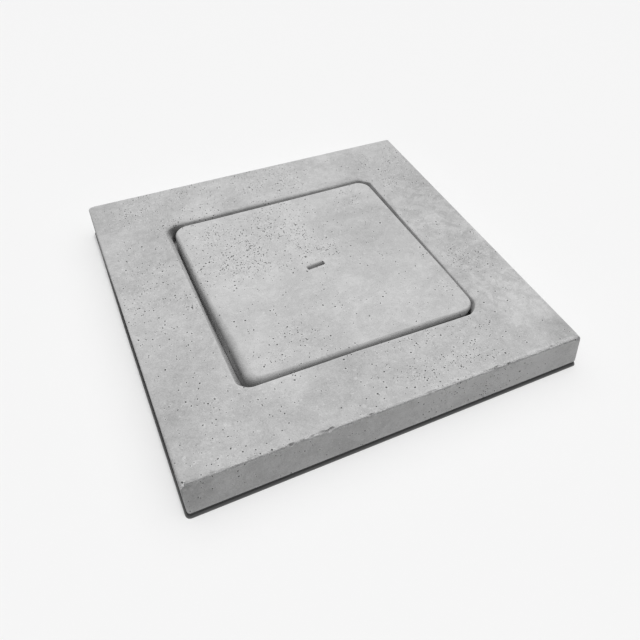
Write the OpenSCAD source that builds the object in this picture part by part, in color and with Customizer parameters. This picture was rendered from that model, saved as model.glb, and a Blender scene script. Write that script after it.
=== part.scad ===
// Square precast concrete inspection cover, laid flat and seen with its top face up.
// A heavy frame slab has a mouth in its middle. A loose lid with a lifting slot drops
// into the mouth and rests on a ledge. A thin strip under the slab's rim seats it.
// Sizes are in millimetres, +Z is up, and the origin is under the middle of the strip.

/* [Frame slab] */
// Side of the slab, measured at its underside
slab_side = 700; // [640:10:800]
// Thickness of the slab
slab_thick = 60; // [52:1:80]
// Lean of the outer walls, which spread towards the underside, in degrees
slab_draft = 4; // [0:0.5:6]
// Radius of the upright corners, measured at the underside
slab_corner = 12; // [9:1:20]
// Rounding of the edge between the top face and the outer walls
slab_arris = 3; // [1:0.5:4]
// Rounding of the edge between the underside and the outer walls
foot_arris = 1.5; // [0.5:0.5:3]

/* [Mouth in the slab] */
// Side of the mouth at the top face
mouth_side = 452; // [452:1:470]
// Radius of the mouth's corners at the top face
mouth_corner = 27; // [24:1:40]
// Depth of the splayed upper wall that guides the lid in
splay_depth = 18; // [12:1:18]
// Lean of the splayed wall from upright, in degrees
splay_angle = 22; // [15:1:22]
// Lean of the throat below the splay, in degrees
throat_draft = 1; // [0:0.5:2]
// Rounding of the edge between the top face and the splayed wall
mouth_arris = 2.5; // [1:0.5:4]
// Side of the clear way through the ledge, at the ledge
clear_side = 380; // [340:5:385]
// Radius of the clear way's corners
clear_corner = 22; // [16:1:40]
// Lean of the clear way's walls, narrower below, in degrees
clear_draft = 3; // [0:0.5:5]

/* [Lid] */
// Side of the lid, measured where its walls would meet the top face
lid_side = 436; // [420:1:436]
// Thickness of the lid, which is also the depth of the ledge below the top face
lid_thick = 35; // [30:1:38]
// Radius of the lid's corners, measured as its side is
lid_corner = 30; // [26:1:45]
// Inward lean of the lid's walls, in degrees
lid_taper = 13; // [12:1:14]
// Rounding of the edge between the lid's top face and its walls
lid_arris = 12; // [5:0.5:12]
// Bevel round the lid's underside
lid_bevel = 3; // [1:0.5:5]
// How far the loose lid lies off the middle of the mouth, towards +X
lid_shift = 3.5; // [0:0.5:3.5]
// How far the loose lid lies turned in the mouth, in degrees
lid_turn = 0.3; // [0:0.05:0.3]

/* [Lifting slot] */
// Length of the slot, which takes the crossbar of a lifting key
slot_long = 36; // [30:1:50]
// Width of the slot
slot_wide = 10; // [8:0.5:14]
// Radius of the slot's corners
slot_corner = 3; // [1.5:0.5:3.5]
// Rounding of the edge between the slot and the lid's top face
slot_arris = 2; // [0.5:0.5:3]
// How far the slot was cast out of square with the lid, in degrees
slot_turn = 5; // [0:1:10]

/* [Seating strip] */
// Thickness of the strip between the slab and the ground or chamber rim
strip_thick = 10; // [4:1:14]
// Width of the strip's flat band
strip_wide = 45; // [25:1:60]
// How far the strip's foot stands out past the slab's underside
strip_proud = 3; // [0:0.5:5]
// Radius of the strip's outer corners at its foot
strip_corner = 8; // [6:1:30]

/* [Hidden] */
$fn = 64;
past = 4;                               // how far a cutter runs past the face it opens
top = strip_thick + slab_thick;         // height of the walked-on face
ledge = top - lid_thick;                // height of the ledge that carries the lid
splay_in = splay_depth * tan(splay_angle);

// Point on a leaning wall that stands at x = foot_x on height foot_z, at another height.
// lean is counted from upright, and is positive where the wall spreads upwards.
function wall_x(foot_x, foot_z, lean, z) = foot_x + (z - foot_z) * tan(lean);

// A body whose outline is a rectangle with four round corners and whose edge, from face
// to face, has one profile all the way round. The profile is a flat shape that starts on
// the corner's axis: it is turned a quarter round each corner and runs along each side.
// core is half the distance between the corners' axes along X and Y.
module edge_run(core, low, high) {
    for (turn = [0, 90, 180, 270]) {
        along_x = turn == 0 || turn == 270 ? core[0] : -core[0];
        along_y = turn == 0 || turn == 90 ? core[1] : -core[1];
        translate([along_x, along_y, 0])
            rotate([0, 0, turn])
                rotate_extrude(angle = 90)
                    children();
    }
    rotate([90, 0, 0])
        linear_extrude(2 * core[1], center = true)
            both_sides(core[0], low, high)
                children();
    rotate([90, 0, 90])
        linear_extrude(2 * core[0], center = true)
            both_sides(core[1], low, high)
                children();
}

// The section right across such a body: the edge profile, its mirror image, and what
// lies between them.
module both_sides(half, low, high) {
    for (side = [0, 1])
        mirror([side, 0])
            translate([half, 0])
                children();
    translate([-half, low])
        square([2 * half, high - low]);
}

// Edge profile of a solid with a leaning wall between its lower and upper face and an
// arris rounded to a radius at each. foot is the wall's distance from the corner's axis
// at the lower face, and lean is positive where the wall spreads upwards.
module solid_edge(foot, low, high, lean, low_r, high_r) {
    low_x = wall_x(foot, low, lean, low + low_r) - low_r / cos(lean);
    high_x = wall_x(foot, low, lean, high - high_r) - high_r / cos(lean);
    polygon([
        [0, low], [low_x, low], [low_x, low + low_r],
        [low_x + low_r * cos(lean), low + low_r - low_r * sin(lean)],
        [high_x + high_r * cos(lean), high - high_r - high_r * sin(lean)],
        [high_x, high - high_r], [high_x, high], [0, high]
    ]);
    translate([low_x, low + low_r])
        circle(low_r);
    translate([high_x, high - high_r])
        circle(high_r);
}

// Edge profile of a void that opens through an upper face with a leaning wall. The
// arris that the void leaves in the face is rounded to a radius. mouth is the wall's
// distance from the corner's axis at the face, and the void narrows downwards.
module void_edge(mouth, low, face, lean, r) {
    floor_x = wall_x(mouth, face, lean, low);
    bend = tan(45 - lean / 2);
    arris_x = mouth + r * bend;
    difference() {
        polygon([
            [0, low], [floor_x, low],
            [mouth - r * bend * sin(lean), face - r * bend * cos(lean)],
            [arris_x, face], [arris_x, face + past], [0, face + past]
        ]);
        translate([arris_x, face - r])
            circle(r);
    }
}

// The frame slab: a thick square ring cast in one piece, with leaning outer walls. Its
// mouth has a splayed upper wall, a nearly upright throat, and a ledge for the lid.
module frame_slab() {
    color("darkgray")
        difference() {
            edge_run(square_core(slab_side, slab_corner), strip_thick, top)
                solid_edge(slab_corner, strip_thick, top, -slab_draft, foot_arris, slab_arris);
            edge_run(square_core(mouth_side, mouth_corner), top - splay_depth, top + past)
                void_edge(mouth_corner, top - splay_depth, top, splay_angle, mouth_arris);
            throat_cut();
            clear_cut();
        }
}

// Corner axes of a square of a given side and corner radius.
function square_core(side, corner) = [side / 2 - corner, side / 2 - corner];

// The throat below the splay, down to the ledge.
module throat_cut() {
    throat_r = mouth_corner - splay_in;
    throat_top = top - splay_depth;
    edge_run(square_core(mouth_side, mouth_corner), ledge, throat_top + past)
        polygon([
            [0, ledge], [wall_x(throat_r, throat_top, throat_draft, ledge), ledge],
            [throat_r, throat_top], [throat_r, throat_top + past], [0, throat_top + past]
        ]);
}

// The clear way down through the ledge.
module clear_cut() {
    low = strip_thick - past;
    edge_run(square_core(clear_side, clear_corner), low, ledge + past)
        polygon([
            [0, low], [wall_x(clear_corner, ledge, clear_draft, low), low],
            [clear_corner, ledge], [clear_corner, ledge + past], [0, ledge + past]
        ]);
}

// The lid: a tapered plug with a well rounded upper arris and a bevelled underside. The
// lifting slot goes right through, so that a key can be turned below it.
module lid() {
    foot = lid_corner - lid_thick * tan(lid_taper);
    color("silver")
        translate([lid_shift, 0, ledge])
            rotate([0, 0, lid_turn])
                difference() {
                    edge_run(square_core(lid_side, lid_corner), 0, lid_thick) {
                        difference() {
                            solid_edge(foot, 0, lid_thick, lid_taper, 1, lid_arris);
                            translate([foot, 0])
                                rotate(45)
                                    square(lid_bevel * sqrt(2), center = true);
                        }
                    }
                    rotate([0, 0, slot_turn])
                        lifting_slot();
                }
}

// The lifting slot's cutter, with an eased edge at the lid's top face.
module lifting_slot() {
    core = [slot_long / 2 - slot_corner, slot_wide / 2 - slot_corner];
    edge_run(core, -past, lid_thick + past)
        void_edge(slot_corner, -past, lid_thick, 0, slot_arris);
}

// The seating strip: a flat band of soft black rubber under the slab's rim, mitred into
// a square. The slab's weight has squeezed its outer edge out a little at the foot.
module seating_strip() {
    core = square_core(slab_side + 2 * strip_proud, strip_corner);
    color("dimgray")
        difference() {
            edge_run(core, 0, strip_thick)
                polygon([
                    [0, 0], [strip_corner, 0],
                    [strip_corner - strip_proud, strip_thick], [0, strip_thick]
                ]);
            translate([0, 0, strip_thick / 2])
                cube([slab_side - 2 * strip_wide, slab_side - 2 * strip_wide,
                      strip_thick + 2 * past], center = true);
        }
}

frame_slab();
lid();
seating_strip();
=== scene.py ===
# A square precast concrete inspection cover: a frame slab, a loose lid that lies in its
# mouth, and a rubber strip that seats the slab. Every length is in millimetres until it
# reaches a mesh or a shader, which are in metres like the fixed frame.
import math

import bmesh
import bpy
from mathutils import Matrix, Vector, noise


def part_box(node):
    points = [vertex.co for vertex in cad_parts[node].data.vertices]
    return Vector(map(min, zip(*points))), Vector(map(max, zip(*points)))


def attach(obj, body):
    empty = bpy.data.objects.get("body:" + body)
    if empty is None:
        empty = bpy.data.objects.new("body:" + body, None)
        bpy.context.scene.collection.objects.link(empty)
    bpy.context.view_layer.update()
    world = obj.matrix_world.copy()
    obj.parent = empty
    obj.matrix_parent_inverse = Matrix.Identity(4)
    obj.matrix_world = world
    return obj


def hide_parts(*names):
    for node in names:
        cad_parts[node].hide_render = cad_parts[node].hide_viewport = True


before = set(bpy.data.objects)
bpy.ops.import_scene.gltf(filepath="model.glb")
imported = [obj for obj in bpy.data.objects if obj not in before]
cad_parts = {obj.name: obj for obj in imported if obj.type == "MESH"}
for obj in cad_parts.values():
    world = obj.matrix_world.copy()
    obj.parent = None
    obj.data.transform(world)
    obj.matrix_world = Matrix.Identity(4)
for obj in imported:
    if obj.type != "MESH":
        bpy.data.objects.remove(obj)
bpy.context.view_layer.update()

# The frame slab
# A thick square ring of fine grey concrete, cast in one piece in a steel mould. Its walls
# came off the mould smooth, and its outer arris was struck by hand and is a little ragged.
MM = 0.001
slab_low, slab_high = (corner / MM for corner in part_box("frame_slab"))
slab_top = slab_high.z
slab_foot = slab_low.z
slab_thick = slab_top - slab_foot
slab_side = 700
slab_corner = 12
slab_draft = math.radians(4)
slab_arris = 3
foot_arris = 1.5
mouth_side = 452
mouth_corner = 27
mouth_arris = 2.5
splay_depth = 18
splay_angle = math.radians(22)
throat_draft = math.radians(1)
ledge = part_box("lid")[0].z / MM
clear_side = 380
clear_corner = 22
clear_draft = math.radians(3)
least_corner = 5


def run(start, stop, steps):
    """Stations evenly spaced from start to stop, with stop left for the next run."""
    start, stop = Vector(start), Vector(stop)
    return [tuple(start.lerp(stop, i / steps)) for i in range(steps)]


def arc(core, middle, radius, first, last, steps):
    """Stations round an arris, from the first angle to the last. Middle is the arris's
    centre, as how far it lies from the corner's axis and its height."""
    turns = [math.radians(first + (last - first) * i / steps) for i in range(steps + 1)]
    return [(core, middle[0] + radius * math.cos(turn), middle[1] + radius * math.sin(turn))
            for turn in turns]


def ring_place(index, station, straight, bend):
    """Where a ring's point lies: a square with round corners, walked round from its right
    side. A station is the corner axes' distance from the middle, the corner's radius and
    the height. Rings that lie further in keep a small radius, so that they don't fold."""
    core, radius, height = station
    if radius < least_corner:
        core, radius = core + radius - least_corner, least_corner
    side, step = divmod(index, straight + bend)
    if step < straight:
        spot = Vector((core + radius, core * (2 * step / straight - 1), height))
    else:
        turn = math.pi / 2 * (step - straight) / bend
        spot = Vector((core + radius * math.cos(turn), core + radius * math.sin(turn), height))
    return Matrix.Rotation(math.pi / 2 * side, 3, "Z") @ spot


def grow(bm, edges):
    """Draws an open edge out into a new row of faces, and gives the new points and edge."""
    grown = bmesh.ops.extrude_edge_only(bm, edges=edges)["geom"]
    points = [g for g in grown if isinstance(g, bmesh.types.BMVert)]
    return points, [g for g in grown if isinstance(g, bmesh.types.BMEdge) and g.is_boundary]


def numbered_ring(bm, count):
    """A ring of points, each of which keeps its number as the ring is drawn out."""
    mark = bm.verts.layers.int.new("ring_point")
    ring = bmesh.ops.create_circle(bm, segments=count, radius=1)["verts"]
    for i, v in enumerate(ring):
        v[mark] = i
    return mark, ring, list(bm.edges)


def loft(bm, stations, straight, bend):
    """A ring of points is drawn out from station to station, as a sweep round the square."""
    mark, ring, edges = numbered_ring(bm, 4 * (straight + bend))
    for number, station in enumerate(stations):
        if number:
            ring, edges = grow(bm, edges)
        for v in ring:
            v.co = ring_place(v[mark], station, straight, bend) * MM


def finish_mesh(bm, name):
    """Joins what meets, turns every face outwards and makes the piece an object of its own."""
    bmesh.ops.remove_doubles(bm, verts=bm.verts, dist=0.01 * MM)
    bmesh.ops.recalc_face_normals(bm, faces=bm.faces)
    mesh = bpy.data.meshes.new(name)
    bm.to_mesh(mesh)
    bm.free()
    mesh.polygons.foreach_set("use_smooth", [True] * len(mesh.polygons))
    mesh.set_sharp_from_angle(angle=math.radians(38))
    piece = bpy.data.objects.new(name, mesh)
    bpy.context.scene.collection.objects.link(piece)
    return piece


slab_core = slab_side / 2 - slab_corner
mouth_core = mouth_side / 2 - mouth_corner
clear_core = clear_side / 2 - clear_corner
slab_reach = slab_corner - (slab_thick - slab_arris) * math.tan(slab_draft)
foot_reach = slab_corner - foot_arris * math.tan(slab_draft)
foot_middle = (foot_reach - foot_arris / math.cos(slab_draft), slab_foot + foot_arris)
arris_middle = (slab_reach - slab_arris / math.cos(slab_draft), slab_top - slab_arris)
mouth_middle = (mouth_corner + mouth_arris * math.tan(math.pi / 4 - splay_angle / 2),
                slab_top - mouth_arris)
throat_reach = mouth_corner - splay_depth * math.tan(splay_angle)
throat_top = slab_top - splay_depth
ledge_reach = throat_reach - (throat_top - ledge) * math.tan(throat_draft)
clear_reach = clear_corner - (ledge - slab_foot) * math.tan(clear_draft)

# The rings lie closer together in a band beside each arris, where it is worn.
outer_band = 18
mouth_band = 16
foot_round = arc(slab_core, foot_middle, foot_arris, -90, 4, 3)
top_round = arc(slab_core, arris_middle, slab_arris, 4, 90, 6)
mouth_round = arc(mouth_core, mouth_middle, mouth_arris, 90, 158, 4)
wall_bend = (slab_core, slab_reach + outer_band * math.tan(slab_draft),
             slab_top - slab_arris - outer_band)
outer_flat = (slab_core, top_round[-1][1] - outer_band, slab_top)
inner_flat = (mouth_core, mouth_round[0][1] + mouth_band, slab_top)
splay_end = (mouth_core, throat_reach, throat_top)
ledge_out = (mouth_core, ledge_reach, ledge)
ledge_in = (clear_core, clear_corner, ledge)
clear_end = (clear_core, clear_reach, slab_foot)

bm = bmesh.new()
loft(bm, [
    *foot_round[:-1],
    *run(foot_round[-1], wall_bend, 9),
    *run(wall_bend, top_round[0], 9),
    *top_round[:-1],
    *run(top_round[-1], outer_flat, 10),
    *run(outer_flat, inner_flat, 22),
    *run(inner_flat, mouth_round[0], 8),
    *mouth_round[:-1],
    *run(mouth_round[-1], splay_end, 9),
    *run(splay_end, ledge_out, 4),
    *run(ledge_out, ledge_in, 4),
    *run(ledge_in, clear_end, 3),
    *run(clear_end, foot_round[0], 10),
    foot_round[0],
], straight=216, bend=12)


def share(value, none, full):
    """How far a value has come from none of an effect to all of it, from 0 to 1."""
    return min(1, max(0, (value - none) / (full - none)))


def swell(spot, size):
    """Smooth random height from -1 to 1, with hills about size apart."""
    return noise.noise(spot / size)


def near(p, x, y, reach):
    """Falls from 1 at a place on the plan to a third at its reach, and then to nothing."""
    return math.exp(-((p.x - x) ** 2 + (p.y - y) ** 2) / reach ** 2)


def rim_place(p, core):
    """How far a point lies out from a square of corner axes, and which way that is."""
    over_x, over_y = abs(p.x) - core, abs(p.y) - core
    if over_x > 0 and over_y > 0:
        way = Vector((math.copysign(over_x, p.x), math.copysign(over_y, p.y), 0))
        return way.length, way.normalized()
    if over_x > over_y:
        return over_x, Vector((math.copysign(1, p.x), 0, 0))
    return over_y, Vector((0, math.copysign(1, p.y), 0))


def worn(cut, along):
    """How deep an arris is worn at some distance along from it, where cut is the wear's
    reach. The wear runs out softly over about a millimetre."""
    return (cut - along + math.hypot(cut - along, 1.2)) / 2


# Every mould is a little out. The two near corners came out tighter than the far left one,
# the left wall leans out towards the top, the front wall leans back at its left end, and
# its foot stands out. These are how far each of them is out, in millimetres.
corner_change = {(-1, -1): 7, (1, -1): 7, (1, 1): 3, (-1, 1): -2}
left_lean = 7
left_foot_in = 1.2
front_lean = 2
front_twist = 3.5
front_foot_out = 1.5
# The struck top lies a little low. What is within top_skin of the planned height is on it.
struck_dip = 0.4
top_skin = 0.6
# The outer arris is worn up to wear_reach away, and most at its two front corners, each
# given as (x, y, wear).
wear_reach = 40
knocked_reach = 22
knocked_corners = ((-352, -350, 1.8), (352, -350, 1.5))


def cast_outside(p, depth):
    """The slab's corners and leaning walls as they were cast. The hand-struck top dips a
    little in broad and small hills, and the front arris is ragged."""
    out, way = rim_place(p, slab_core)
    left, front = max(0, -way.x), max(0, -way.y)
    if abs(p.x) > slab_core and abs(p.y) > slab_core:
        sign = (math.copysign(1, p.x), math.copysign(1, p.y))
        tight = corner_change[sign] * share(out, -6, 4)
        p.x += sign[0] * tight * (1 - abs(way.x))
        p.y += sign[1] * tight * (1 - abs(way.y))
    if depth < top_skin:
        p.z -= struck_dip + 0.3 * swell(p, 120) + 0.12 * swell(p, 17)
    along = abs(slab_reach + depth * math.tan(slab_draft) - out) + depth
    if along < wear_reach:
        # Shallow wear runs all round. The front has chips about 26 mm and 9 mm long.
        ragged = 0.3 + 3.5 * max(0, swell(p, 26)) + 9 * max(0, abs(swell(p, 9)) - 0.12)
        cut = 0.6 + 0.9 * max(0, swell(p, 30)) + front * ragged
        for x, y, wear in knocked_corners:
            cut += wear * near(p, x, y, knocked_reach)
        cut += 2.2 * left * share(p.y, -180, -280)
        p += (Vector((0, 0, -1)) - way) * worn(cut, along) / 2
    hold = share(out, -40, 6)
    high = max(0, 1 - depth / slab_thick) * hold
    low = min(1, depth / slab_thick) * hold
    inset = left_foot_in * share(p.y, 230, 80) * share(p.y, -330, -180)
    p.x += (inset * low - left_lean * high) * min(1, 1.5 * left)
    lean = front_lean - front_twist * p.x / (slab_side / 2)
    p.y += (lean * high - front_foot_out * low) * min(1, 1.5 * front)
    return p


# The mouth's front and back walls are nearly upright, so they stand in at the top, and its
# right corners have a fuller round. Its arris is rubbed at the back, where the lid slides.
mouth_back_in = 6
mouth_front_in = 4.9
mouth_front_most = 5.3
mouth_right_in = 0.9
mouth_left_out = 0.2
right_corner_in = 6
fade_out = 28


def cast_mouth(p, depth):
    """The mouth's splayed walls, right corners and arris as they were cast and worn. Each
    wall's change grows or shrinks a little along it, and fades out in the slab's top."""
    out, way = rim_place(p, mouth_core)
    if depth >= splay_depth or not 0 < out < mouth_corner + fade_out + 2:
        return p
    high = (1 - depth / splay_depth) * share(out, mouth_corner + fade_out, mouth_corner)
    right, left, front, back = (min(1, 1.4 * max(0, facing)) * high
                                for facing in (way.x, -way.x, -way.y, way.y))
    p.x -= (mouth_right_in + 0.008 * p.y) * right
    p.x -= (mouth_left_out + 0.005 * p.y + 0.012 * max(0, p.y + 20)) * left
    p.y += min(mouth_front_most, mouth_front_in - 0.022 * p.x) * front
    p.y -= mouth_back_in * back
    if p.x > 0:
        inward = Vector((-1, 0.6 if p.y < 0 else -0.9, 0))
        p += right_corner_in * abs(way.x * way.y) * high * inward
    along = max(0, out - mouth_corner) if depth < top_skin else depth / math.cos(splay_angle)
    cut = 0.5 + 0.7 * swell(p, 22) + 3.2 * max(0, way.y) - 0.4 * max(0, -way.x)
    rub = Vector((0.56 * way.x, 0.56 * way.y, -0.83))
    return p + rub * 0.56 * worn(cut, along)


for v in bm.verts:
    p = v.co / MM
    depth = slab_top - p.z
    v.co = cast_mouth(cast_outside(p, depth), depth) * MM
slab = finish_mesh(bm, "frame_slab_cast")
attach(slab, "root")
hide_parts("frame_slab")


def srgb(code):
    """A colour given as sRGB hex, as the linear values that a shader takes."""
    parts = [int(code[i:i + 2], 16) / 255 for i in (1, 3, 5)]
    return (*[c / 12.92 if c <= 0.04045 else ((c + 0.055) / 1.055) ** 2.4 for c in parts], 1)


def add(tree, kind, inputs=(), out=0, **settings):
    """Adds a node, sets it up, fills or links its inputs, and gives one of its outputs."""
    node = tree.nodes.new("ShaderNode" + kind)
    for key, value in settings.items():
        setattr(node, key, value)
    for key, value in inputs.items() if isinstance(inputs, dict) else enumerate(inputs):
        if isinstance(value, bpy.types.NodeSocket):
            tree.links.new(value, node.inputs[key])
        else:
            node.inputs[key].default_value = value
    return node.outputs[out] if node.outputs else None


def empty_material(name):
    """A new material, and its node tree with nothing in it."""
    material = bpy.data.materials.new(name)
    material.use_nodes = True
    material.node_tree.nodes.clear()
    return material, material.node_tree


def pushed(tree, vector, size, reach):
    """The same place, carried off by up to half the reach on hills of the given size."""
    hills = {"Vector": vector, "Scale": 1 / (size * MM), "Detail": 3}
    wobble = add(tree, "TexNoise", hills, "Color")
    centred = add(tree, "VectorMath", [wobble, (0.5, 0.5, 0.5)], operation="SUBTRACT")
    return add(tree, "VectorMath", [centred, (reach * MM,) * 3, vector],
               operation="MULTIPLY_ADD")


def places(tree, vector, start, spots):
    """Soft round spots on the plan, added to start. Each is full over the inner fifth of
    its reach, and is given as (x, y, reach, strength) with lengths in millimetres."""
    total = start
    for x, y, reach, strength in spots:
        far = add(tree, "VectorMath", [vector, (x * MM, y * MM, 0)], "Value",
                  operation="DISTANCE")
        spot = add(tree, "MapRange", [far, reach / 5 * MM, reach * MM, strength, 0],
                   interpolation_type="SMOOTHSTEP")
        total = add(tree, "Math", [total, spot], operation="ADD")
    return total


# Where finishes lie on the two castings, in millimetres from the middle: the outer walls,
# the rubbed front edge from where it begins to where it is full, painted paler as sand and
# as a painted highlight, the square that holds the joint, the painted shade in it, and the
# one big air hole beside the lifting slot.
wall_from = 335
sand_and_highlight_edge = (336.5, 343)
joint_side = 468
# Where the joint's painted shade is strongest, as spots on the plan.
joint_painted_shade = [(60, -225, 260, 0.5), (-150, -225, 140, 0.45), (-212, 206, 30, 0.3)]
big_hole = (-4.4, 29.4, 3, 1)


def concrete(name, dark, pale, shift, gathers, patches, skins):
    """Cast concrete: a skin of grey cement paste with sand in it. Small ragged air holes
    stayed against the mould, gathered in places, with a pale crust at their rims, and they
    are painted dark as painted shade. Watery paste dried paler or darker in patches, with a
    clear edge where it ran as a skin; a few pale patches are painted highlights. Painted
    shade darkens the joint, and sand shows where the front arris is rubbed, its pale grains
    also a painted highlight there. To the eye it is a quite matt, cloudy grey with pinholes
    painted dark. Gathers, patches and skins are spots on the plan. Shift moves the clouds
    and holes by so many millimetres, so that the two castings aren't alike."""
    material, tree = empty_material(name)
    where = add(tree, "TexCoord", out="Object")
    x, y, z = add(tree, "SeparateXYZ", [where]).node.outputs
    plan = add(tree, "VectorMath", [where, (1, 1, 0)], operation="MULTIPLY")
    swayed = add(tree, "VectorMath", [pushed(tree, where, 60, 90), (1, 1, 0)],
                 operation="MULTIPLY")
    moved = add(tree, "Mapping", {"Vector": where, "Location": [s * MM for s in shift]})
    drawn = add(tree, "Mapping", {"Vector": moved, "Rotation": (0, 0, math.radians(35)),
                                  "Scale": (1, 2.2, 1)})

    # The second value is how large each pattern is in millimetres. Sand grains are finer
    # than a millimetre in such concrete, and are drawn at 2 mm so that they show.
    pattern = {}
    for key, size, detail, roughness, distortion, vector in (
            ("cloud", 120, 3, 0.5, 0.6, moved),
            ("stroke", 70, 3, 0.6, 0.5, drawn),
            ("gathering", 40, 3, 0.55, 0, moved),
            ("film", 34, 4, 0.62, 1.8, moved),
            ("skin", 26, 3, 0.6, 1.4, moved),
            ("mottle", 26, 5, 0.66, 0.8, moved),
            ("blotch", 13, 4, 0.62, 1.2, moved),
            ("fleck", 5, 4, 0.72, 1.6, moved),
            ("grain", 1.9, 3, 0.72, 0, moved)):
        pattern[key] = add(tree, "TexNoise", {
            "Vector": vector, "Scale": 1 / (size * MM), "Detail": detail,
            "Roughness": roughness, "Distortion": distortion})

    tone = 0.24
    for key, weight in (("cloud", 0.75), ("mottle", 0.5), ("stroke", 0.4), ("grain", 1.1)):
        tone = add(tree, "Math", [pattern[key], weight, tone], operation="MULTIPLY_ADD")
    pale_flecks = add(tree, "MapRange", [pattern["fleck"], 0.41, 0.36, 0, 0.2])
    tone = add(tree, "Math", [tone, pale_flecks], operation="ADD")
    film = add(tree, "MapRange", [pattern["film"], 0.5, 0.53, -0.12, 0])
    tone = add(tree, "Math", [places(tree, swayed, tone, patches), film], operation="ADD")
    skin = add(tree, "MapRange", [pattern["skin"], 0.48, 0.52, -1, 1])
    tone = add(tree, "Math", [skin, places(tree, swayed, 0, skins), tone],
               operation="MULTIPLY_ADD")

    # Dark flecks are deeper where the air holes gather.
    gathering = add(tree, "MapRange", [pattern["gathering"], 0.38, 0.6, 0.2, 1])
    crowd = add(tree, "Math", [places(tree, swayed, 0.06, gathers), gathering],
                operation="MULTIPLY")
    flecks = add(tree, "MapRange", [pattern["fleck"], 0.56, 0.62, 0, 1])
    darker = add(tree, "Math", [crowd, -0.9, -0.24], operation="MULTIPLY_ADD")
    tone = add(tree, "Math", [flecks, darker, tone], operation="MULTIPLY_ADD")

    # The outer walls are blotched, and painted paler towards the right as painted light.
    out_x = add(tree, "Math", [x], operation="ABSOLUTE")
    out_y = add(tree, "Math", [y], operation="ABSOLUTE")
    reach = add(tree, "Math", [out_x, out_y], operation="MAXIMUM")
    beyond = add(tree, "Math", [reach, wall_from * MM], operation="GREATER_THAN")
    under_arris = add(tree, "MapRange", [
        z, (slab_top - 2 * slab_arris) * MM, (slab_top - slab_arris) * MM, 1, 0])
    wall = add(tree, "Math", [beyond, under_arris], operation="MULTIPLY")
    painted_light_rightwards = add(tree, "MapRange", [
        x, -slab_side / 2 * MM, slab_side / 2 * MM, -0.13, 0.16])
    blotch = add(tree, "Math", [pattern["blotch"], 0.5, painted_light_rightwards],
                 operation="MULTIPLY_ADD")
    tone = add(tree, "Math", [wall, blotch, tone], operation="MULTIPLY_ADD")
    tone = add(tree, "MapRange", [tone, 0.85, 2, 0, 1])
    paste = add(tree, "Mix", {"Factor": tone, "A": srgb(dark), "B": srgb(pale)}, "Result",
                data_type="RGBA")

    # Air holes in three sizes. The first value is about how far apart they lie, and the
    # second how wide they are, both in millimetres. The third is how common they are.
    bent = pushed(tree, moved, 2.2, 3)
    holes = places(tree, pushed(tree, plan, 3, 2), 0, [big_hole])
    rims = 0
    for apart, width, common in ((3.6, 1.45, 1.2), (6, 1.9, 0.85), (12, 2.3, 0.28)):
        far = add(tree, "TexVoronoi", {
            "Vector": bent, "Scale": 1 / (apart * MM), "Randomness": 1})
        draws = add(tree, "SeparateColor", [far.node.outputs["Color"]]).node.outputs
        chance = add(tree, "Math", [crowd, common], operation="MULTIPLY")
        picked = add(tree, "Math", [draws[0], chance], operation="LESS_THAN")
        girth = add(tree, "Math", [draws[1], 0.7 * width / apart, 0.5 * width / apart],
                    operation="MULTIPLY_ADD")
        inward = add(tree, "Math", [far, girth], operation="DIVIDE")
        hole = add(tree, "MapRange", [inward, 0.5, 1, 1, 0])
        hole = add(tree, "Math", [hole, picked], operation="MULTIPLY")
        holes = add(tree, "Math", [holes, hole], operation="MAXIMUM")
        rim = add(tree, "MapRange", [inward, 1, 2.2, 1, 0])
        rim = add(tree, "Math", [rim, picked], operation="MULTIPLY")
        rims = add(tree, "Math", [rims, rim], operation="MAXIMUM")

    # Painted shade lies in the joint, from just below the top face down to where the splay
    # ends, deepest at the bottom and strongest at a few spots.
    below = add(tree, "MapRange", [z, throat_top * MM, (slab_top - 2) * MM, 1, 0],
                interpolation_type="SMOOTHSTEP")
    below = add(tree, "Math", [below, places(tree, plan, 0.08, joint_painted_shade)],
                operation="MULTIPLY")
    inside = add(tree, "Math", [reach, joint_side / 2 * MM], operation="LESS_THAN")
    joint_shade = add(tree, "Math", [below, inside], operation="MULTIPLY")

    # Sand shows along the front arris, and its pale grains there are also a painted highlight.
    forward = add(tree, "MapRange", [y, *(-d * MM for d in sand_and_highlight_edge), 0, 1],
                  interpolation_type="SMOOTHSTEP")
    upward = add(tree, "MapRange", [z, (slab_top - 7) * MM, (slab_top - 3.5) * MM, 0, 1],
                 interpolation_type="SMOOTHSTEP")
    edge = add(tree, "Math", [forward, upward], operation="MULTIPLY")
    grains = add(tree, "MapRange", [pattern["grain"], 0.4, 0.65, 0, 1])
    sand_and_highlight = add(tree, "Math", [edge, grains], operation="MULTIPLY")
    # The air holes are painted dark: painted shade in the pits.
    for mask, amount, tint in ((rims, 0.28, "#ededed"), (sand_and_highlight, 0.6, "#e6e6e6"),
                               (joint_shade, 1, "#505050"), (holes, 1, "#404040")):
        factor = add(tree, "Math", [mask, amount], operation="MULTIPLY")
        paste = add(tree, "Mix", {"Factor": factor, "A": paste, "B": srgb(tint)}, "Result",
                    data_type="RGBA")

    # The sand stands out more at the rubbed edge, and the holes go in.
    coarse = add(tree, "Math", [edge, 3, 1.2], operation="MULTIPLY_ADD")
    height = add(tree, "Math", [pattern["grain"], coarse], operation="MULTIPLY")
    height = add(tree, "Math", [holes, -2.5, height], operation="MULTIPLY_ADD")
    height = add(tree, "Math", [pattern["mottle"], 1.5, height], operation="MULTIPLY_ADD")
    bump = add(tree, "Bump", {"Height": height, "Strength": 0.5, "Distance": 0.9 * MM})
    shader = add(tree, "BsdfPrincipled", {
        "Base Color": paste, "Roughness": 0.9, "IOR": 1.45, "Normal": bump})
    add(tree, "OutputMaterial", {"Surface": shader})
    return material


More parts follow.
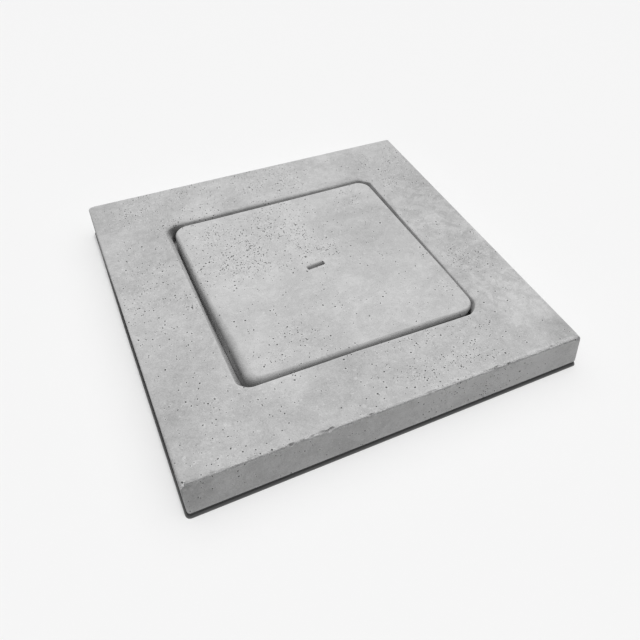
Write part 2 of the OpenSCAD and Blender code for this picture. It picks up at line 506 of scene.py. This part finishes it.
slab.data.materials.append(concrete(
    "mould_cast_concrete", "#959595", "#cacaca", (0, 0, 0),
    gathers=[(-290, 40, 150, 0.2), (-200, 290, 170, 0.3), (20, 290, 110, 0.4),
             (290, -85, 80, 0.3), (290, 230, 110, 0.3), (110, -285, 150, 0.32),
             (-270, -250, 130, 0.05)],
    # The pale patch at (-150, 243), on the ridge behind the mouth's far left, is a painted
    # highlight.
    patches=[(-150, 243, 60, 0.3), (-150, -236, 55, 0.3), (300, -250, 70, 0.2),
             (345, -30, 50, 0.14), (300, -90, 70, -0.16), (325, -325, 60, -0.25),
             (-335, 310, 90, -0.14), (-350, -300, 120, -0.1), (300, 90, 120, -0.1),
             (60, 290, 170, 0.17), (-270, -285, 90, 0.12), (310, 300, 90, 0.12)],
    skins=[(290, 60, 170, 0.1), (290, -170, 170, 0.1), (130, 310, 120, 0.06)],
))

# The lid
# A tapered plug of the same concrete, cast on its own with a well rounded upper arris.
# Its lifting slot takes the crossbar of a key. It only lies on the ledge in the mouth.
lid_side = 436
lid_thick = slab_top - ledge
lid_corner = 30
lid_taper = math.radians(13)
lid_bevel = 3
lid_shift = 3.5
lid_turn = math.radians(0.3)
lid_rows = 132
lid_bend = 14
arris_steps = 16
wall_steps = 5
under_steps = 12

lid_core = lid_side / 2 - lid_corner
lid_foot = lid_corner - lid_thick * math.tan(lid_taper)
arris_far = 1 / math.tan((math.pi / 2 - lid_taper) / 2)
bevel_top = Vector((lid_core, lid_foot + lid_bevel * math.tan(lid_taper), ledge + lid_bevel))
bevel_end = Vector((lid_core, lid_foot - lid_bevel, ledge))
under_middle = Vector((20, 6, ledge))
# The flat's grid ends a little inside the corners' axes. Two rings lie between it and the
# arris, the first of them inside even the widest one.
flat_half = lid_core - 8
arris_most = 18
flat_edge = lid_corner - arris_most * arris_far - 3


def rim_number(x, y):
    """The number of a point on the grid's rim, counted round from the near right corner."""
    if x == lid_rows:
        return y
    if y == lid_rows:
        return 2 * lid_rows - x
    if x == 0:
        return 3 * lid_rows - y
    return 3 * lid_rows + x


# The lid's flat is a grid, whose rim points are numbered as the edge's rings are.
bm = bmesh.new()
mark = bm.verts.layers.int.new("ring_point")
grid = bmesh.ops.create_grid(bm, x_segments=lid_rows, y_segments=lid_rows,
                             size=flat_half * MM)["verts"]
straight = lid_rows - lid_bend
for v in grid:
    v.co.z = slab_top * MM
edges = [e for e in bm.edges if e.is_boundary]
for e in edges:
    for v in e.verts:
        x, y = (round((c / MM + flat_half) * lid_rows / (2 * flat_half)) for c in v.co.xy)
        v[mark] = (rim_number(x, y) - lid_bend // 2) % (4 * lid_rows)


# The left wall is nearly upright: its foot stands out by so many millimetres. Each side's
# arris has its own radius, and the left one opens out towards the front.
left_wall_out = 7
left_radius, left_growth, left_opening = 9.4, -2, 12
right_radius, right_growth = 5.6, 3
front_radius = 8.7
back_radius = 10
side_blend = 6


def lid_edge(index):
    """For a point of the ring, how much further out the wall's foot stands than planned,
    and the radius of the upper arris. Each side's own values give way to the next side's
    in the corner between them."""
    spot = ring_place(index, (lid_core, lid_corner, 0), straight, lid_bend) / (lid_side / 2)
    left, right, front, back = (max(0, facing) ** side_blend
                                for facing in (-spot.x, spot.x, -spot.y, spot.y))
    total = left + right + front + back
    opening = left_opening * max(0, -spot.y - 0.05)
    radius = left * (left_radius + left_growth * spot.y + opening)
    radius += right * (right_radius + right_growth * spot.y)
    radius += front * front_radius + back * back_radius
    return left_wall_out * left / total, radius / total


# From the flat, the edge runs round the arris, down the leaning wall and round the bevel.
edge_steps = [("flat", 0), ("flat", 0.5),
              *[("arris", i / arris_steps) for i in range(arris_steps + 1)],
              *[("wall", i / wall_steps) for i in range(1, wall_steps + 1)],
              *[("under", i / under_steps) for i in range(under_steps + 1)]]
for kind, part in edge_steps:
    ring, edges = grow(bm, edges)
    for v in ring:
        foot_out, radius = lid_edge(v[mark])
        foot_out = Vector((0, foot_out, 0))
        axis = lid_corner - radius * arris_far
        turn = math.pi / 2 - part * (math.pi / 2 + lid_taper)
        if kind == "flat":
            station = (lid_core, flat_edge + (axis - flat_edge) * part, slab_top)
        elif kind == "arris":
            station = (lid_core, axis + radius * math.cos(turn),
                       slab_top - radius + radius * math.sin(turn))
        elif kind == "wall":
            arris_end = Vector((lid_core, axis + radius * math.cos(lid_taper),
                                slab_top - radius - radius * math.sin(lid_taper)))
            station = arris_end.lerp(bevel_top + foot_out, part)
        else:
            station = (bevel_end + foot_out).lerp(under_middle, part)
        v.co = ring_place(v[mark], station, straight, lid_bend) * MM
bmesh.ops.edgeloop_fill(bm, edges=edges)

# The lid came out slightly skewed: its front half lies over to the right, and its front
# wall bows in at the left. Its top was trowelled, and dips less than the slab's.
lid_skew = 1.5
lid_bow = 1.2
trowelled_skin = 0.2
trowelled_dip = 0.3
other_hills = Vector((900, 0, 0))
for v in bm.verts:
    p = v.co / MM
    if p.z > slab_top - trowelled_skin:
        p.z -= trowelled_dip + 0.2 * swell(p + other_hills, 90) + 0.08 * swell(p, 12)
    p.x += lid_skew * share(p.y, 40, -110)
    p.y += lid_bow * share(p.x, 80, -70) * share(p.y, -150, -190)
    v.co = p * MM
lid = finish_mesh(bm, "lid_cast")

# The slot was cast round a bar. Its far edge is softly rounded and the wall below it leans,
# so that light reaches it. Each ring of the cutter is how far it lies out all round, how
# much further out at the far side, and its height.
slot_long = 36
slot_wide = 10
slot_corner = 3
slot_turn = math.radians(5)
slot_points = 32
cutter_rings = [
    (0, -3.6, ledge - 4),
    (0, -3.6, slab_top - 16),
    (0, -2.8, slab_top - 8),
    (0, -2.1, slab_top - 4.5),
    (0, -1.2, slab_top - 2.6),
    (0.1, -0.2, slab_top - 1.3),
    (0.3, 0.9, slab_top - 0.5),
    (0.6, 2.3, slab_top),
    (0.6, 2.3, slab_top + 4),
]
bm = bmesh.new()
mark, ring, edges = numbered_ring(bm, slot_points)
low_edges = list(edges)
for number, (out, far_out, height) in enumerate(cutter_rings):
    if number:
        ring, edges = grow(bm, edges)
    for v in ring:
        turn = 2 * math.pi * (v[mark] + 0.5) / slot_points
        across, along = math.cos(turn), math.sin(turn)
        x = math.copysign(slot_long / 2 - slot_corner, across) + (slot_corner + out) * across
        y = math.copysign(slot_wide / 2 - slot_corner, along) + (slot_corner + out) * along
        v.co = Vector((x, y + far_out * max(0, along) ** 0.5, height)) * MM
bmesh.ops.edgeloop_fill(bm, edges=edges)
bmesh.ops.edgeloop_fill(bm, edges=low_edges)
bmesh.ops.rotate(bm, verts=bm.verts, cent=(0, 0, 0),
                 matrix=Matrix.Rotation(slot_turn, 3, "Z"))
cutter = finish_mesh(bm, "slot_cutter")
cut = lid.modifiers.new("slot", "BOOLEAN")
cut.object = cutter
cut.operation = "DIFFERENCE"
cut.solver = "EXACT"
bpy.context.view_layer.update()
evaluated = lid.evaluated_get(bpy.context.evaluated_depsgraph_get())
slotted = bpy.data.meshes.new_from_object(evaluated)
lid.modifiers.clear()
lid.data = slotted
bpy.data.objects.remove(cutter)
lid.data.transform(Matrix.Translation((lid_shift * MM, 0, 0))
                   @ Matrix.Rotation(lid_turn, 4, "Z"))
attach(lid, "root")
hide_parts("lid")
lid.data.materials.clear()
lid.data.materials.append(concrete(
    "trowelled_lid_concrete", "#a2a2a2", "#d1d1d1", (400, 100, 200),
    gathers=[(-120, 105, 125, 0.75), (-10, 165, 90, 0.4), (10, 60, 80, 0.4),
             (0, -95, 70, 0.2), (-110, -150, 80, 0.25), (170, 150, 60, 0.2),
             (185, -150, 40, 0.15)],
    # The pale patch at the lid's near left corner, (-190, -185), is a painted highlight on its
    # rounded arris.
    patches=[(-190, -185, 55, 0.12), (60, -110, 120, 0.05), (-140, 60, 150, 0.1),
             (195, 20, 190, -0.2)],
    skins=[],
))

# The seating strip
# A flat band of black closed-cell rubber under the slab's rim, glued on and mitred. The
# slab's weight has pressed its outer edge out a little. Its foot is painted paler as
# painted light, so that its top under the slab reads darker, as in shade.
strip_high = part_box("seating_strip")[1].z / MM
strip_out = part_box("seating_strip")[1].x / MM
strip_corner = 8
strip_proud = 3
strip_wide = 45
strip_core = strip_out - strip_corner
strip_in = slab_side / 2 - strip_wide
sharp = 0.01
pressed_edge = [(0, 0), (0.1, 0.5), (0.7, 1.3), (1.5, 2.2), (2.3, 3.6), (2.8, 5.6),
                (strip_proud, 8.5), (strip_proud, strip_high)]
bm = bmesh.new()
loft(bm, [
    *[(strip_core, strip_corner - back, height) for back, height in pressed_edge],
    (strip_in, sharp, strip_high),
    (strip_in, sharp, 0),
    (strip_core, strip_corner, 0),
], straight=60, bend=10)
# The far end of its left edge was laid a little too far in.
laid_in = 2
left_edge = -320
for v in bm.verts:
    if v.co.x < left_edge * MM:
        v.co.x += laid_in * MM * share(v.co.y / MM, 60, 280)
strip = finish_mesh(bm, "seating_strip_band")
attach(strip, "root")
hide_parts("seating_strip")

# Closed-cell rubber, moulded with a skin of small cells and left dull. To the eye it is a
# soft black line, painted grey towards the ground as painted light.
cell_size = 1.5
foot_light_high = 4.5
rubber, tree = empty_material("closed_cell_rubber")
where = add(tree, "TexCoord", out="Object")
cells = add(tree, "TexNoise", {"Vector": where, "Scale": 1 / (cell_size * MM), "Detail": 2})
tint = add(tree, "Mix", {"Factor": cells, "A": srgb("#2c2c2c"), "B": srgb("#484848")},
           "Result", data_type="RGBA")
height = add(tree, "SeparateXYZ", [where], "Z")
# Painted light: the strip turns paler over its lowest few millimetres.
painted_foot_light = add(tree, "MapRange", [height, 0, foot_light_high * MM, 1, 0])
tint = add(tree, "Mix", {"Factor": painted_foot_light, "A": tint, "B": srgb("#a0a0a0")},
           "Result", data_type="RGBA")
bump = add(tree, "Bump", {"Height": cells, "Strength": 0.3, "Distance": 0.3 * MM})
shader = add(tree, "BsdfPrincipled", {"Base Color": tint, "Roughness": 0.8, "Normal": bump})
add(tree, "OutputMaterial", {"Surface": shader})
strip.data.materials.append(rubber)

# The studio
# A floor of matt pale paper, which looks the same from every side, lit from straight
# overhead, and a softbox high at the back right for the cover.
floor_half = 6000
bm = bmesh.new()
bmesh.ops.create_grid(bm, x_segments=1, y_segments=1, size=floor_half * MM)
floor = finish_mesh(bm, "studio_floor")
paper, tree = empty_material("matt_studio_paper")
shader = add(tree, "BsdfPrincipled", {"Base Color": srgb("#eeeeee"), "Roughness": 1})
add(tree, "OutputMaterial", {"Surface": shader})
floor.data.materials.append(paper)

# Each light shines on its own pieces only, so the softbox leaves no cast shadow on the
# paper. A light is where it stands, its strength, how many degrees wide it looks, and what
# it lights.
overhead = Vector((0, 0, 1))
back_right = Vector((0.28, 0.52, 1))
lamp_far = 3000
for name, stand, strength, wide, lit in (
        ("overhead_lamp", overhead, 1.7, 8, [floor]),
        ("overhead_diffuser", overhead, 1.0, 110, [floor]),
        ("back_right_softbox", back_right, 3.08, 36, [slab, lid, strip])):
    lamp = bpy.data.lights.new(name, "SUN")
    lamp.energy = strength
    lamp.angle = math.radians(wide)
    holder = bpy.data.objects.new(name, lamp)
    holder.location = stand * lamp_far * MM
    holder.rotation_euler = (-stand).to_track_quat("-Z", "Y").to_euler()
    bpy.context.scene.collection.objects.link(holder)
    holder.light_linking.receiver_collection = bpy.data.collections.new(name + "_receivers")
    for piece in lit:
        holder.light_linking.receiver_collection.objects.link(piece)

sky = bpy.data.worlds.new("studio_sky")
sky.use_nodes = True
sky.node_tree.nodes["Background"].inputs["Color"].default_value = srgb("#ffffff")
sky.node_tree.nodes["Background"].inputs["Strength"].default_value = 0.22
bpy.context.scene.world = sky
bpy.context.scene.view_settings.view_transform = "Standard"

# The camera
# It stands above the slab's front left corner, with its picture shifted as by a view
# camera. Heading is counted clockwise from the +Y side, and pitch downwards.
camera_stand = (-408.2, -893.9, 949.2)
heading, pitch, roll = (math.radians(a) for a in (26.959, 39.167, 2.479))
lens = bpy.data.cameras.new("camera")
lens.lens = 39.37
lens.sensor_width = 36
lens.shift_x = -0.0273
lens.shift_y = -0.1346
camera = bpy.data.objects.new("camera", lens)
camera.matrix_world = (Matrix.Translation([c * MM for c in camera_stand])
                       @ Matrix.Rotation(-heading, 4, "Z")
                       @ Matrix.Rotation(math.pi / 2 - pitch, 4, "X")
                       @ Matrix.Rotation(roll, 4, "Z"))
bpy.context.scene.collection.objects.link(camera)
bpy.context.scene.camera = camera
